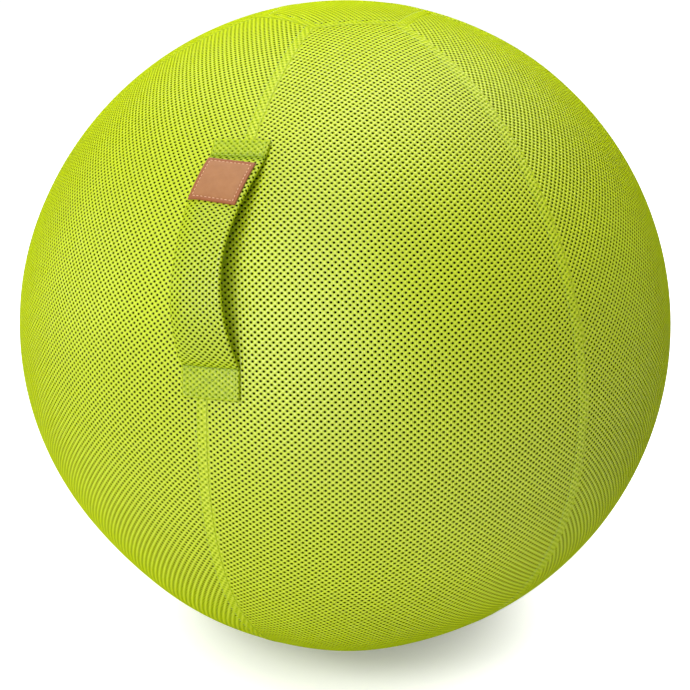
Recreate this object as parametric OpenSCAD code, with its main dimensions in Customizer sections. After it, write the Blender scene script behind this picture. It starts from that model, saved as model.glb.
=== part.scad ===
// Sitting ball: an inflated inner ball in a sewn mesh cover, with a carrying handle and a zip.
// Millimetres, +Z up. The origin is the middle of the flat patch that the ball rests on.
// Azimuth is counted from -Y towards +X: the handle's seam is at 0 and the zip's seam at 180.

/* [Ball] */
// Outside diameter of the covered ball
ball_d = 650; // [560:5:750]
// Diameter of the flat patch that the ball rests on
contact_d = 90; // [60:1:110]

/* [Cover] */
// Thickness of the knitted mesh
mesh_t = 3; // [2:0.5:4]
// Width of the seam allowance, pressed to one side of its seam
allowance_w = 10; // [6:1:14]
// Thickness of the allowance, two layers pressed flat
allowance_t = 2.4; // [1.6:0.2:3]
// Gap between two panels at the fold of their seam
seam_gap = 0.4; // [0.3:0.1:0.8]
// Distance from the ball's axis to a corner of the top and base hexagons
hexagon_r = 84; // [70:1:110]

/* [Inner ball] */
// Wall of the inflated ball
bladder_wall = 1.2; // [0.8:0.1:3]
// Height of a moulded grip rib
rib_h = 1.2; // [0.6:0.1:1.8]
// Radius of the round back of a grip rib
rib_r = 8; // [5:0.5:12]
// Distance along the surface between two ribs
rib_pitch = 40; // [30:1:55]

/* [Valve] */
// Angle of the valve below the equator, behind the zip
valve_down_deg = 35; // [32:1:44]
// Diameter of the valve seat
valve_d = 30; // [24:1:40]
// Depth of the valve seat
valve_depth = 9; // [7:0.5:12]
// Diameter of the hole that the plug closes
plug_hole_d = 8; // [6:0.5:10]
// Diameter of the plug's flat head
plug_head_d = 18; // [14:1:20]
// Length of the plug's stem
plug_stem = 20; // [14:1:26]

/* [Zip] */
// Angle of the closed end of the zip below the equator
zip_low_deg = 50; // [46:1:54]
// Angle of the open end of the zip below the equator
zip_high_deg = 5; // [2:1:20]
// Width of the channel between the two folded edges of the mesh
channel_w = 14.4; // [14:0.2:18]
// Full width of the two tapes
tape_w = 30; // [26:1:36]
// Thickness of the tape
tape_t = 1; // [0.6:0.1:1.2]
// Distance between two teeth of one row
tooth_pitch = 3.2; // [3.2:0.1:4]
// Height of a tooth over the tape
tooth_h = 2.3; // [1.8:0.1:2.5]
// Width of the closed chain, from bead to bead
chain_w = 9.2; // [8.8:0.1:9.4]
// Length of the slider
slider_len = 15; // [12:0.5:18]
// Thickness of the slider's plate and flanges
slider_wall = 1.2; // [1:0.1:1.4]
// Length of the stop at each end of the chain
stop_len = 4; // [3:0.5:6]
// Length of the pull from its pivot to its tip
pull_len = 34; // [26:1:40]
// Width of the pull
pull_w = 9; // [8:0.5:12]
// Diameter of the bar that the pull hangs on
bar_d = 1.8; // [1.6:0.1:2.2]

/* [Handle] */
// Angle of the handle's middle above the equator
handle_up_deg = 28.5; // [24:0.5:34]
// Turn of the handle off the line of its seam
handle_skew_deg = 3.5; // [0:0.5:5]
// Shift of the handle to the left of its seam
handle_shift = 2.5; // [0:0.5:5]
// Thickness of the folded mesh strap
strap_t = 5; // [4:0.5:6]
// Width of the strap in its middle
grip_w = 44; // [38:1:48]
// Width of the strap at its sewn ends
end_w = 51; // [50:1:60]
// Distance from the handle's middle to where the strap leaves the ball at the top
upper_foot = 92; // [88:1:96]
// The same at the bottom
lower_foot = 80; // [76:1:86]
// Length of the upper end that is sewn flat to the cover
upper_tab = 16; // [12:1:24]
// Length of the lower end that is sewn flat to the cover
lower_tab = 26; // [18:1:30]
// Height of the middle of the strap over the ball
strap_rise = 26; // [24:1:34]
// How far the middle of the strap bows to the left of its two ends
strap_bow = 8; // [0:1:10]
// Length of the grip above the handle's middle
grip_up = 36; // [30:1:37]
// Length of the grip below the handle's middle
grip_down = 54; // [48:1:56]

/* [Label] */
// Side of the square leather label
label_w = 44; // [36:1:46]
// Thickness of the leather
label_t = 1.5; // [1:0.1:2]
// Distance along the strap from its upper foot to the label
label_drop = 8; // [4:1:9]

/* [Fits] */
// Gap between a piece and the one that it lies on
seat_gap = 0.3; // [0.2:0.05:0.4]
// Gap round a part that slides or turns
run_gap = 0.4; // [0.3:0.05:0.6]

/* [Hidden] */
$fn = 128;

gore_count = 6;
gore_deg = 360 / gore_count;
ball_r = ball_d / 2;
centre_z = sqrt(ball_r ^ 2 - (contact_d / 2) ^ 2);
reach = 2 * ball_r;
mesh_in_r = ball_r - mesh_t;
allowance_in_r = mesh_in_r - allowance_t;
corner_deg = asin(hexagon_r / ball_r);
edge_deg = atan(tan(corner_deg) * cos(gore_deg / 2));
mm_deg = 180 / (PI * ball_r);

rib_out_r = allowance_in_r - seat_gap;
bladder_r = rib_out_r - rib_h;
rib_count = 7;
valve_boss_d = valve_d + 12;
valve_neck_d = valve_d - 10;
valve_flange_t = 3;
plug_head_t = 2;
plug_barb_h = 0.6;

tape_out_r = mesh_in_r - seat_gap;
tape_in_r = tape_out_r - tape_t;
tooth_in_r = tape_out_r + seat_gap / 3;
tooth_out_r = tooth_in_r + tooth_h;
bead_w = 1;
tooth_neck = 1.1;
tooth_head = 1.9;
tooth_head_in = 0.45;
tooth_head_out = 1.35;
tooth_edge = 0.3;
stop_end_deg = stop_len * mm_deg;
chain_low_deg = zip_low_deg - stop_end_deg - seat_gap * mm_deg;
chain_high_deg = zip_high_deg + stop_end_deg + seat_gap * mm_deg;
chain_len = (chain_low_deg - chain_high_deg) / mm_deg;
tooth_count = floor(chain_len / tooth_pitch) - 1;
tooth_step_deg = tooth_pitch * mm_deg;
tape_end = 8;
slider_down_deg = chain_low_deg - (slider_len / 2 + run_gap) * mm_deg;
slider_in_r = tooth_out_r + run_gap;
slider_half_w = chain_w / 2 + run_gap + slider_wall;
flange_in_r = tape_out_r + run_gap;
eye_r = bar_d / 2 + 2;
bar_r = slider_in_r + slider_wall + eye_r + run_gap;
post_w = 1.1;
bridge_w = 5;
pull_t = 1.8;
pull_neck = 6;

strap_bend = 1.306 * strap_rise;
upper_lean = 92;
lower_lean = 28;
strap_steps = 28;
outline_steps = 16;
lime = [0.72, 0.85, 0.13];

// ---- helpers ----

module at_centre() {
    translate([0, 0, centre_z]) children();
}

// Everything past the seam plane at az, counted in rising azimuth and starting start mm from it
module past_seam(az, start) {
    rotate([0, 0, az]) translate([start, -reach, -reach]) cube([reach, 2 * reach, 2 * reach]);
}

// Everything short of the seam plane at az, ending back mm before it
module before_seam(az, back) {
    rotate([0, 0, az]) translate([-back - reach, -reach, -reach]) cube([reach, 2 * reach, 2 * reach]);
}

// Six-sided pyramid from the ball's centre through the corners of the top hexagon,
// with its sides moved inwards by back
module hexagon_pyramid(back) {
    intersection_for (i = [0 : gore_count - 1])
        rotate([0, 0, gore_deg * (i + 0.5)])
            rotate([edge_deg, 0, 0])
                translate([-reach, back, -reach])
                    cube([2 * reach, reach, 2 * reach]);
}

// Sphere about the ball's centre, cut flat at the height floor_z over the ground
module flattened(r, floor_z) {
    intersection() {
        sphere(r = r);
        translate([-reach, -reach, floor_z - centre_z]) cube(2 * reach);
    }
}

// Turns a shape drawn with X outwards, Y up the seam and Z across it onto the zip's seam
module on_zip(up_deg) {
    at_centre() rotate([90, 0, 90]) rotate([0, 0, up_deg]) children();
}

// Band along the zip's seam between two angles below the equator,
// from in_r to out_r, and from side_a to side_b across the seam
module zip_band(low_deg, high_deg, in_r, out_r, side_a, side_b) {
    on_zip(-low_deg)
        rotate_extrude(angle = low_deg - high_deg)
            translate([in_r, side_a]) square([out_r - in_r, side_b - side_a]);
}

// ---- inner ball ----

// Grip rib: a ring whose round back stands rib_h proud of the ball
module rib(up_deg) {
    rotate_extrude()
        rotate([0, 0, up_deg])
            translate([rib_out_r - rib_r, 0])
                circle(r = rib_r, $fn = 48);
}

// Turns a shape drawn along Z outwards through the valve
module on_valve() {
    at_centre() rotate([-90 - valve_down_deg, 0, 0]) children();
}

module inner_ball() {
    color([0.75, 0.78, 0.80])
        difference() {
            union() {
                at_centre() difference() {
                    union() {
                        flattened(bladder_r, mesh_t + seat_gap);
                        for (i = [0 : rib_count - 1])
                            rib((i - (rib_count - 1) / 2) * rib_pitch * mm_deg);
                    }
                    flattened(bladder_r - bladder_wall, mesh_t + seat_gap + bladder_wall);
                }
                intersection() {
                    at_centre() sphere(r = bladder_r - bladder_wall / 2);
                    on_valve() translate([0, 0, bladder_r - valve_depth - 2])
                        cylinder(d = valve_boss_d, h = valve_depth + 4);
                }
            }
            on_valve() translate([0, 0, bladder_r - valve_flange_t])
                cylinder(d = valve_d + 2 * seat_gap, h = valve_depth);
            on_valve() translate([0, 0, bladder_r - 2 * valve_depth])
                cylinder(d = valve_neck_d + 2 * seat_gap, h = 3 * valve_depth);
        }
}

module valve_seat() {
    flange_out = bladder_r - plug_head_t / 2;
    color([0.9, 0.9, 0.88])
        on_valve() difference() {
            union() {
                translate([0, 0, bladder_r - valve_flange_t + seat_gap])
                    cylinder(d = valve_d, h = flange_out - bladder_r + valve_flange_t - seat_gap);
                translate([0, 0, bladder_r - valve_depth])
                    cylinder(d = valve_neck_d, h = valve_depth - valve_flange_t / 2);
            }
            translate([0, 0, bladder_r - 2 * valve_depth])
                cylinder(d = plug_hole_d, h = 3 * valve_depth);
            translate([0, 0, flange_out - plug_head_t / 2])
                cylinder(d = plug_head_d + 2 * run_gap, h = plug_head_t);
        }
}

module valve_plug() {
    head_in = bladder_r - plug_head_t + seat_gap;
    stem_r = plug_hole_d / 2 - seat_gap;
    below_seat = bladder_r - valve_depth - seat_gap;
    color([0.95, 0.95, 0.95])
        on_valve() {
            translate([0, 0, head_in]) cylinder(d = plug_head_d, h = plug_head_t);
            translate([0, 0, head_in - plug_stem]) cylinder(r = stem_r, h = plug_stem + 1);
            for (i = [0 : 1])
                translate([0, 0, below_seat - (i + 1) * 3])
                    cylinder(r1 = stem_r, r2 = stem_r + plug_barb_h + seat_gap, h = 3);
        }
}

// ---- cover ----

// Material cut from the panels beside the zip: the channel through the mesh,
// and the room for the tape under it
module zip_cut() {
    tape_half = tape_w / 2 + seat_gap;
    low = zip_low_deg + tape_end * mm_deg;
    high = zip_high_deg - tape_end * mm_deg;
    zip_band(zip_low_deg, zip_high_deg, allowance_in_r - 1, ball_r + 1, -channel_w / 2, channel_w / 2);
    zip_band(low, high, allowance_in_r - 1, mesh_in_r, -tape_half, tape_half);
}

// Side panel between the seams at 0 and at gore_deg, with the allowance of the further seam
// under its own edge
module side_panel() {
    at_centre() intersection() {
        difference() {
            sphere(r = ball_r);
            difference() {
                sphere(r = mesh_in_r);
                past_seam(gore_deg, -allowance_w);
            }
            sphere(r = allowance_in_r);
            hexagon_pyramid(-seam_gap / 2);
            mirror([0, 0, 1]) hexagon_pyramid(-seam_gap / 2);
        }
        past_seam(0, seam_gap / 2);
        before_seam(gore_deg, seam_gap / 2);
    }
}

// One of the six side panels; the two beside the zip are cut away for it
module cover_gore(number) {
    az = gore_deg * (number - 1);
    beside_zip = number == gore_count / 2 || number == gore_count / 2 + 1;
    color(lime)
        rotate([0, 0, az])
            difference() {
                side_panel();
                if (beside_zip) rotate([0, 0, -az]) zip_cut();
            }
}

// Hexagonal panel, with its allowances under its own edges
module cover_top() {
    color(lime)
        at_centre() intersection() {
            difference() {
                sphere(r = ball_r);
                intersection() {
                    sphere(r = mesh_in_r);
                    hexagon_pyramid(allowance_w);
                }
                sphere(r = allowance_in_r);
            }
            hexagon_pyramid(seam_gap / 2);
        }
}

// The same panel at the bottom, flat where the ball rests
module cover_base() {
    color(lime)
        at_centre() intersection() {
            difference() {
                flattened(ball_r, 0);
                intersection() {
                    flattened(mesh_in_r, mesh_t);
                    mirror([0, 0, 1]) hexagon_pyramid(allowance_w);
                }
                flattened(allowance_in_r, mesh_t);
            }
            mirror([0, 0, 1]) hexagon_pyramid(seam_gap / 2);
        }
}

// ---- zip ----

// Tape on one side of the seam: side is 1 or -1
module zip_tape(side) {
    low = zip_low_deg + (tape_end - 1) * mm_deg;
    high = zip_high_deg - (tape_end - 1) * mm_deg;
    inner = seam_gap / 2;
    color([0.62, 0.76, 0.10])
        if (side > 0) zip_band(low, high, tape_in_r, tape_out_r, inner, tape_w / 2);
        else zip_band(low, high, tape_in_r, tape_out_r, -tape_w / 2, -inner);
}

// Outline of one tooth: a neck that reaches past the middle and a wider head that locks
function tooth_outline(side) = [
    for (p = [
        [-tooth_neck / 2, -chain_w / 2 + bead_w / 2],
        [tooth_neck / 2, -chain_w / 2 + bead_w / 2],
        [tooth_neck / 2, tooth_head_in],
        [tooth_head / 2, tooth_head_in + tooth_edge],
        [tooth_head / 2, tooth_head_out - tooth_edge],
        [tooth_neck / 2, tooth_head_out],
        [-tooth_neck / 2, tooth_head_out],
        [-tooth_head / 2, tooth_head_out - tooth_edge],
        [-tooth_head / 2, tooth_head_in + tooth_edge],
        [-tooth_neck / 2, tooth_head_in]
    ]) [p[0], -side * p[1]]
];

// Row of teeth moulded on the bead of one tape; the other row is half a pitch further on
module zip_teeth(side) {
    start_deg = tooth_step_deg * (side > 0 ? 0.5 : 1);
    bead_side = side > 0 ? chain_w / 2 - bead_w : -chain_w / 2;
    color([0.55, 0.70, 0.08])
        union() {
            zip_band(chain_low_deg, chain_high_deg, tooth_in_r, tooth_in_r + tooth_h * 0.6,
                     bead_side, bead_side + bead_w);
            for (i = [0 : tooth_count - 1])
                on_zip(start_deg + i * tooth_step_deg - chain_low_deg)
                    translate([tooth_in_r + 0.05, 0, 0])
                        rotate([90, 0, 90])
                            linear_extrude(height = tooth_h - 0.05)
                                polygon(tooth_outline(side));
        }
}

// Metal stop pressed over both beads at one end of the chain
module zip_stop(low_deg) {
    color([0.7, 0.7, 0.72])
        zip_band(low_deg, low_deg - stop_end_deg, tooth_in_r, tooth_out_r + 0.4,
                 -chain_w / 2 - 0.4, chain_w / 2 + 0.4);
}

// Slider: a plate over the chain, a flange down each side of it, and the bar for the pull
module zip_slider() {
    half_len = slider_len / 2;
    plate_top = slider_in_r + slider_wall;
    color([0.70, 0.71, 0.73])
        on_zip(-slider_down_deg)
            difference() {
                union() {
                    translate([slider_in_r, -half_len, -slider_half_w])
                        cube([slider_wall, slider_len, 2 * slider_half_w]);
                    for (side = [-1, 1])
                        translate([flange_in_r, -half_len, side * (slider_half_w - slider_wall / 2) - slider_wall / 2])
                            cube([plate_top - flange_in_r, slider_len, slider_wall]);
                    for (side = [-1, 1])
                        translate([0, 0, side * (bridge_w + post_w) / 2 - post_w / 2]) {
                            translate([plate_top - slider_wall / 2, -bar_d, 0])
                                cube([bar_r - plate_top + slider_wall / 2, 2 * bar_d, post_w]);
                            translate([bar_r, 0, 0]) cylinder(r = bar_d, h = post_w, $fn = 48);
                        }
                    translate([bar_r, 0, -bridge_w / 2 - post_w / 2])
                        cylinder(d = bar_d, h = bridge_w + post_w, $fn = 48);
                }
                // the plate narrows towards the closed end
                for (side = [-1, 1])
                    translate([slider_in_r - reach / 2, -half_len, side * slider_half_w])
                        rotate([side * 20, 0, 0])
                            translate([0, -slider_wall * 4, -slider_wall / 2])
                                cube([reach, slider_wall * 4, slider_wall]);
            }
}

// Pull: an eye round the slider's bar, a neck and a flat tag, hanging straight down
module zip_pull() {
    eye_w = bridge_w - 2 * run_gap;
    tag_end = pull_len - pull_w / 2;
    color([0.70, 0.71, 0.73])
        at_centre()
            translate([0, bar_r * cos(slider_down_deg), -bar_r * sin(slider_down_deg)])
                difference() {
                    union() {
                        rotate([0, 90, 0]) translate([0, 0, -eye_w / 2])
                            cylinder(r = eye_r, h = eye_w, $fn = 48);
                        translate([-eye_w / 2, -pull_t / 2, -pull_neck - 1])
                            cube([eye_w, pull_t, pull_neck + 1 - bar_d]);
                        translate([-pull_w / 2, -pull_t / 2, -tag_end])
                            cube([pull_w, pull_t, tag_end - pull_neck]);
                        translate([0, pull_t / 2, -tag_end]) rotate([90, 0, 0])
                            cylinder(d = pull_w, h = pull_t, $fn = 48);
                    }
                    rotate([0, 90, 0]) translate([0, 0, -eye_w])
                        cylinder(r = bar_d / 2 + run_gap, h = 2 * eye_w, $fn = 48);
                    translate([0, pull_t, -tag_end]) rotate([90, 0, 0])
                        cylinder(d = pull_w / 3, h = 2 * pull_t, $fn = 48);
                }
}

// ---- handle ----

// Draws with X across the strap, Y up the seam and Z outwards, from the ball's centre
module on_handle() {
    at_centre()
        rotate([90 - handle_up_deg, 0, 0])
            rotate([0, 0, handle_skew_deg])
                translate([-handle_shift, 0, 0])
                    children();
}

function on_ball(s, height) = [s, sqrt(ball_r ^ 2 - s ^ 2) + height];
function bezier(a, b, c, d, t) = a * (1 - t) ^ 3 + 3 * b * t * (1 - t) ^ 2 + 3 * c * t ^ 2 * (1 - t) + d * t ^ 3;

// Middle line of the raised strap, from its upper foot at t = 0 to its lower foot at t = 1:
// a curve of distance along the seam and height over the ball
foot_h = seat_gap + strap_t / 2;
function strap_mid(t) =
    let (p = bezier([upper_foot, foot_h], [upper_foot - upper_lean, strap_bend],
                    [lower_lean - lower_foot, strap_bend], [-lower_foot, foot_h], t))
    on_ball(p[0], p[1]);
function unit(v) = v / norm(v);
function strap_normal(t) =
    let (d = unit(strap_mid(t + 0.01) - strap_mid(t - 0.01)))
    [d[1], -d[0]];
function strap_line(height, t0, t1, steps) = [
    for (i = [0 : steps])
        let (t = t0 + (t1 - t0) * i / steps)
        strap_mid(t) + strap_normal(t) * height
];
function reversed(list) = [for (i = [len(list) - 1 : -1 : 0]) list[i]];

// Extrudes a side view, drawn as distance along the seam and height, across the strap
module across_strap(w) {
    rotate([90, 0, 90]) translate([0, 0, -w / 2]) linear_extrude(height = w) children();
}

// Half the strap's width at the distance s along the seam: narrow in the middle, wide at the ends
function strap_half_w(s) =
    let (share = min(1, abs(s) / lower_foot))
    (grip_w + (end_w - grip_w) * (1 - cos(180 * share)) / 2) / 2;

// How far the strap's middle line lies to the right of its ends, at the distance s along the seam:
// a parabola that ends at the two feet
function strap_side(s) =
    let (middle = (upper_foot - lower_foot) / 2, half = (upper_foot + lower_foot) / 2)
    -strap_bow * (1 - ((s - middle) / half) ^ 2);

// One long edge of the raised strap in plan, on the right for way = 1 and on the left for way = -1
function strap_edge(way) = [
    for (i = [0 : outline_steps])
        let (s = (upper_foot + lower_foot) * i / outline_steps - lower_foot)
        [strap_side(s) + way * strap_half_w(s), s]
];

// Plan of the whole handle
module handle_plan() {
    top = upper_foot + upper_tab;
    bottom = -lower_foot - lower_tab;
    corner = [[end_w / 2, top], [-end_w / 2, top]];
    foot = [[-end_w / 2, bottom], [end_w / 2, bottom]];
    linear_extrude(height = reach)
        polygon(concat(strap_edge(1), corner, reversed(strap_edge(-1)), foot));
}

// The strap and its two sewn ends before they are divided
module whole_handle() {
    side_view = concat(strap_line(strap_t / 2, 0, 1, strap_steps),
                       reversed(strap_line(-strap_t / 2, 0, 1, strap_steps)));
    difference() {
        intersection() {
            handle_plan();
            union() {
                across_strap(2 * end_w) polygon(side_view);
                intersection() {
                    sphere(r = ball_r + seat_gap + strap_t);
                    union() {
                        translate([-end_w, upper_foot - strap_t, 0])
                            cube([2 * end_w, upper_tab + 2 * strap_t, reach]);
                        translate([-end_w, -lower_foot - lower_tab - strap_t, 0])
                            cube([2 * end_w, lower_tab + 2 * strap_t, reach]);
                    }
                }
            }
        }
        sphere(r = ball_r + seat_gap);
    }
}

// Part of the handle between two distances along the seam
module handle_part(low, high) {
    color(lime)
        on_handle() intersection() {
            whole_handle();
            translate([-end_w, low, 0]) cube([2 * end_w, high - low, reach]);
        }
}

module handle_upper_end() {
    handle_part(grip_up + seat_gap, upper_foot + upper_tab + 1);
}

module handle_grip() {
    handle_part(-grip_down, grip_up);
}

module handle_lower_end() {
    handle_part(-lower_foot - lower_tab - 1, -grip_down - seat_gap);
}

// Length of the strap's outer face from its upper foot to t
function outer_len(t, steps = 24) =
    let (line = strap_line(strap_t / 2, 0, t, steps))
    [for (i = [1 : steps]) norm(line[i] - line[i - 1])] * [for (i = [1 : steps]) 1];
// The t at which that length reaches wanted, by halving the stretch that holds it
function t_at_len(wanted, low = 0, high = 1, rounds = 12) =
    rounds == 0 ? (low + high) / 2
    : let (t = (low + high) / 2)
      outer_len(t) < wanted ? t_at_len(wanted, t, high, rounds - 1)
                            : t_at_len(wanted, low, t, rounds - 1);

// Distance along the seam of the point that lies len down the strap's outer face from its upper foot
function seam_at_len(len) = strap_mid(t_at_len(len))[0];

// Square leather label, bent to the slope of the strap and turned to follow its bow
module handle_label() {
    label_steps = 12;
    middle_len = label_drop + label_w / 2;
    middle_s = seam_at_len(middle_len);
    turn = atan(strap_side(middle_s + 0.5) - strap_side(middle_s - 0.5));
    under = strap_t / 2 + seat_gap / 3;
    // corners as parts of half a side: to the right, then down the strap
    plan = [
        for (c = [[1, -1], [-1, -1], [-1, 1], [1, 1]])
            let (right = c[0] * cos(turn) - c[1] * sin(turn), down = c[1] * cos(turn) + c[0] * sin(turn))
            [strap_side(middle_s) + right * label_w / 2, seam_at_len(middle_len + down * label_w / 2)]
    ];
    t_end = t_at_len(label_drop + 1.3 * label_w);
    color([0.72, 0.48, 0.33])
        on_handle()
            intersection() {
                across_strap(4 * label_w)
                    polygon(concat(strap_line(under + label_t, 0, t_end, label_steps),
                                   reversed(strap_line(under, 0, t_end, label_steps))));
                linear_extrude(height = reach) polygon(plan);
            }
}

inner_ball();
valve_seat();
valve_plug();
for (number = [1 : gore_count])
    cover_gore(number);
cover_top();
cover_base();
zip_tape(-1);  // zip_tape_left
zip_tape(1);  // zip_tape_right
zip_teeth(-1);  // zip_teeth_left
zip_teeth(1);  // zip_teeth_right
zip_stop(zip_low_deg);  // zip_lower_stop
zip_stop(zip_high_deg + stop_end_deg);  // zip_upper_stop
zip_slider();
zip_pull();
handle_upper_end();
handle_grip();
handle_lower_end();
handle_label();
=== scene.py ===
"""Sitting ball: an inflated inner ball in a zipped cover of knitted spacer mesh, with a carrying strap.

Metres, +Z up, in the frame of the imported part. Azimuth counts from -Y towards +X: the strap sits on the
seam at 0 and the zip closes the seam at 180 degrees.
"""

import bpy
import numpy as np
from mathutils import Matrix, Vector


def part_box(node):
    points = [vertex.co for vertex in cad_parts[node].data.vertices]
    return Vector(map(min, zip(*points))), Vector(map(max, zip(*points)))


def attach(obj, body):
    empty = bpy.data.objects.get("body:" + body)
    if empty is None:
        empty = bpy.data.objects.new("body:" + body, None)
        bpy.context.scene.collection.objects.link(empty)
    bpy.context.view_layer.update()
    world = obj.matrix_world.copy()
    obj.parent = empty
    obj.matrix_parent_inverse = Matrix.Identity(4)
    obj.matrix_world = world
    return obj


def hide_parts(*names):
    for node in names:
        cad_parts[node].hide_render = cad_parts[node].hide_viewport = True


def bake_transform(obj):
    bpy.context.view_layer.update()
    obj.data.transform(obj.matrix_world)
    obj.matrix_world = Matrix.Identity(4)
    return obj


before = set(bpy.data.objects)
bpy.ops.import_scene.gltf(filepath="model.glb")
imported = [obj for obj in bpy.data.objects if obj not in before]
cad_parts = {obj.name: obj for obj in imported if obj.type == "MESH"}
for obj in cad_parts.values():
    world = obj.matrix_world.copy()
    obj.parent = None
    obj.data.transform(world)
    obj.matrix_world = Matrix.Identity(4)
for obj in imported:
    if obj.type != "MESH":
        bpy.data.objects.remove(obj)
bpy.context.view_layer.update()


# ---- Inner ball ----
# The inflated ball that carries the sitter: one rotation-moulded PVC skin with seven raised grip ribs.
# The cover hides it, so it keeps its built shape and gets the skin's satin, faintly mottled finish.

BALL_RADIUS = 0.325
BALL_CENTRE = np.array([0.0, 0.0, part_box("cover_top")[1].z - BALL_RADIUS])


def linear(red, green, blue):
    """An sRGB colour from 0 to 255 as the linear colour with alpha that a shader's socket takes.

    A share below 0.04045 is divided by 12.92, and above it (share + 0.055) / 1.055 is raised to 2.4.
    """
    share = np.array([red, green, blue]) / 255
    light = np.where(share < 0.04045, share / 12.92, ((share + 0.055) / 1.055) ** 2.4)
    return (*light, 1.0)


def add_node(tree, kind, inputs=(), **settings):
    """Adds a node with these settings. Inputs that are sockets are linked, and others are set."""
    made = tree.nodes.new(kind)
    for setting, value in settings.items():
        setattr(made, setting, value)
    for place, value in dict(inputs).items():
        if isinstance(value, bpy.types.NodeSocket):
            tree.links.new(value, made.inputs[place])
        else:
            made.inputs[place].default_value = value
    return made


def reckon(tree, operation, *values):
    """A Math node's result."""
    return add_node(tree, "ShaderNodeMath", enumerate(values), operation=operation).outputs[0]


def blend_colours(tree, share, first, second):
    """A colour between two, by a share from 0 to 1."""
    inputs = {"Factor": share, 6: first, 7: second}
    return add_node(tree, "ShaderNodeMix", inputs, data_type="RGBA").outputs[2]


def new_material(name, **constants):
    """A Principled material with plain values on its own sockets: (material, tree, shader)."""
    material = bpy.data.materials.new(name)
    material.use_nodes = True
    shader = material.node_tree.nodes["Principled BSDF"]
    for socket, value in constants.items():
        shader.inputs[socket.replace("_", " ")].default_value = value
    return material, material.node_tree, shader


def spread(tree, value, start, end, low=0.0, high=1.0, interpolation_type="LINEAR"):
    """A value mapped so that start gives low and end gives high."""
    inputs = {"Value": value, "From Min": start, "From Max": end, "To Min": low, "To Max": high}
    node = add_node(tree, "ShaderNodeMapRange", inputs, interpolation_type=interpolation_type)
    return node.outputs["Result"]


def object_place(tree):
    """The Object coordinates."""
    return add_node(tree, "ShaderNodeTexCoord").outputs["Object"]


def raise_bumps(tree, shader, height, distance, strength=1.0):
    """Feeds a height through a Bump node into the shader's normal."""
    inputs = {"Height": height, "Distance": distance, "Strength": strength}
    bump = add_node(tree, "ShaderNodeBump", inputs)
    tree.links.new(bump.outputs["Normal"], shader.inputs["Normal"])


def dress(node_name, material):
    """Gives a CAD node that stays in view its material."""
    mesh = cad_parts[node_name].data
    mesh.materials.clear()
    mesh.materials.append(material)


NOISE_LOW, NOISE_HIGH = 0.3, 0.7


def make_mottle():
    """A group of soft blotches: noise with so many waves a metre, spread from Low to High."""
    group = bpy.data.node_groups.new("mottle", "ShaderNodeTree")
    kinds = {"Vector": "Vector", "Per Metre": "Float", "Low": "Float", "High": "Float"}
    for label, kind in kinds.items():
        group.interface.new_socket(label, in_out="INPUT", socket_type="NodeSocket" + kind)
    group.interface.new_socket("Value", in_out="OUTPUT", socket_type="NodeSocketFloat")
    place, scale, low, high = add_node(group, "NodeGroupInput").outputs[:4]
    noise = add_node(group, "ShaderNodeTexNoise", {"Vector": place, "Scale": scale, "Detail": 3.0})
    value = spread(group, noise.outputs["Fac"], NOISE_LOW, NOISE_HIGH, low, high)
    add_node(group, "NodeGroupOutput", {"Value": value})
    return group


MOTTLE = make_mottle()


def mottled(tree, vector, per_metre, low=0.0, high=1.0):
    """The mottle group's value at this scale and between these limits."""
    inputs = {"Vector": vector, "Per Metre": per_metre, "Low": low, "High": high}
    return add_node(tree, "ShaderNodeGroup", inputs, node_tree=MOTTLE).outputs["Value"]


GLOSS_PLAY = 0.06
GLOSS_FINER = 2.3
BUMP_FINER = 9


def mottled_finish(name, dark, light, per_metre, roughness, bump, **constants):
    """A moulded or cast finish: two close colours in soft blotches, uneven gloss and a fine bump."""
    material, tree, shader = new_material(name, **constants)
    place = object_place(tree)
    colour = blend_colours(tree, mottled(tree, place, per_metre), linear(*dark), linear(*light))
    tree.links.new(colour, shader.inputs["Base Color"])
    dull, bright = roughness + GLOSS_PLAY, roughness - GLOSS_PLAY
    gloss = mottled(tree, place, per_metre * GLOSS_FINER, bright, dull)
    tree.links.new(gloss, shader.inputs["Roughness"])
    raise_bumps(tree, shader, mottled(tree, place, per_metre * BUMP_FINER), bump)
    return material


dress("inner_ball", mottled_finish("bladder_pvc", (188, 193, 198), (202, 206, 211), 22, 0.42, 0.00008,
                                   Specular_IOR_Level=0.5))


# ---- Valve ----
# The soft PVC seat welded into the inner ball behind the zip, and the stopper pushed into it.
# Both are moulded in white, and the stopper is a little glossier than its seat.

dress("valve_seat",
      mottled_finish("valve_seat_pvc", (226, 226, 220), (236, 236, 231), 60, 0.45, 0.00004))
dress("valve_plug",
      mottled_finish("valve_plug_plastic", (234, 234, 229), (243, 243, 240), 90, 0.32, 0.00003))


# ---- Side panels of the cover ----
# Six boat-shaped panels of 3 mm spacer mesh, sewn edge to edge and stretched over the inner ball.
# The knit has small holes in staggered rows that follow each panel's middle line, with shade painted
# into them. Along one edge the seam allowances lie behind the mesh, so the holes there, between fold
# and topstitching, are shallower and painted paler.

PITCH_ACROSS = 0.00606
PITCH_ALONG = 0.0054
HOLE_HALF_WIDTH = 0.00123
HOLE_HALF_LENGTH = 0.00115
PIT_DEPTH = 0.0026
PAIRED_PIT_DEPTH = 0.0014
# Painted shade at the bottom of a hole over a second layer, where a single layer gets 1.
PAIRED_HOLE_SHADE = 0.15
HOLE_PLAY = 0.00004

SEAM_COUNT = 6
HALF_GORE = np.pi / SEAM_COUNT
SEAM_GAP = 0.00005
HEXAGON_RADIUS = 0.084
CORNER_ANGLE = np.arcsin(HEXAGON_RADIUS / BALL_RADIUS)
EDGE_ANGLE = np.arctan(np.tan(CORNER_ANGLE) * np.cos(HALF_GORE))

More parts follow.
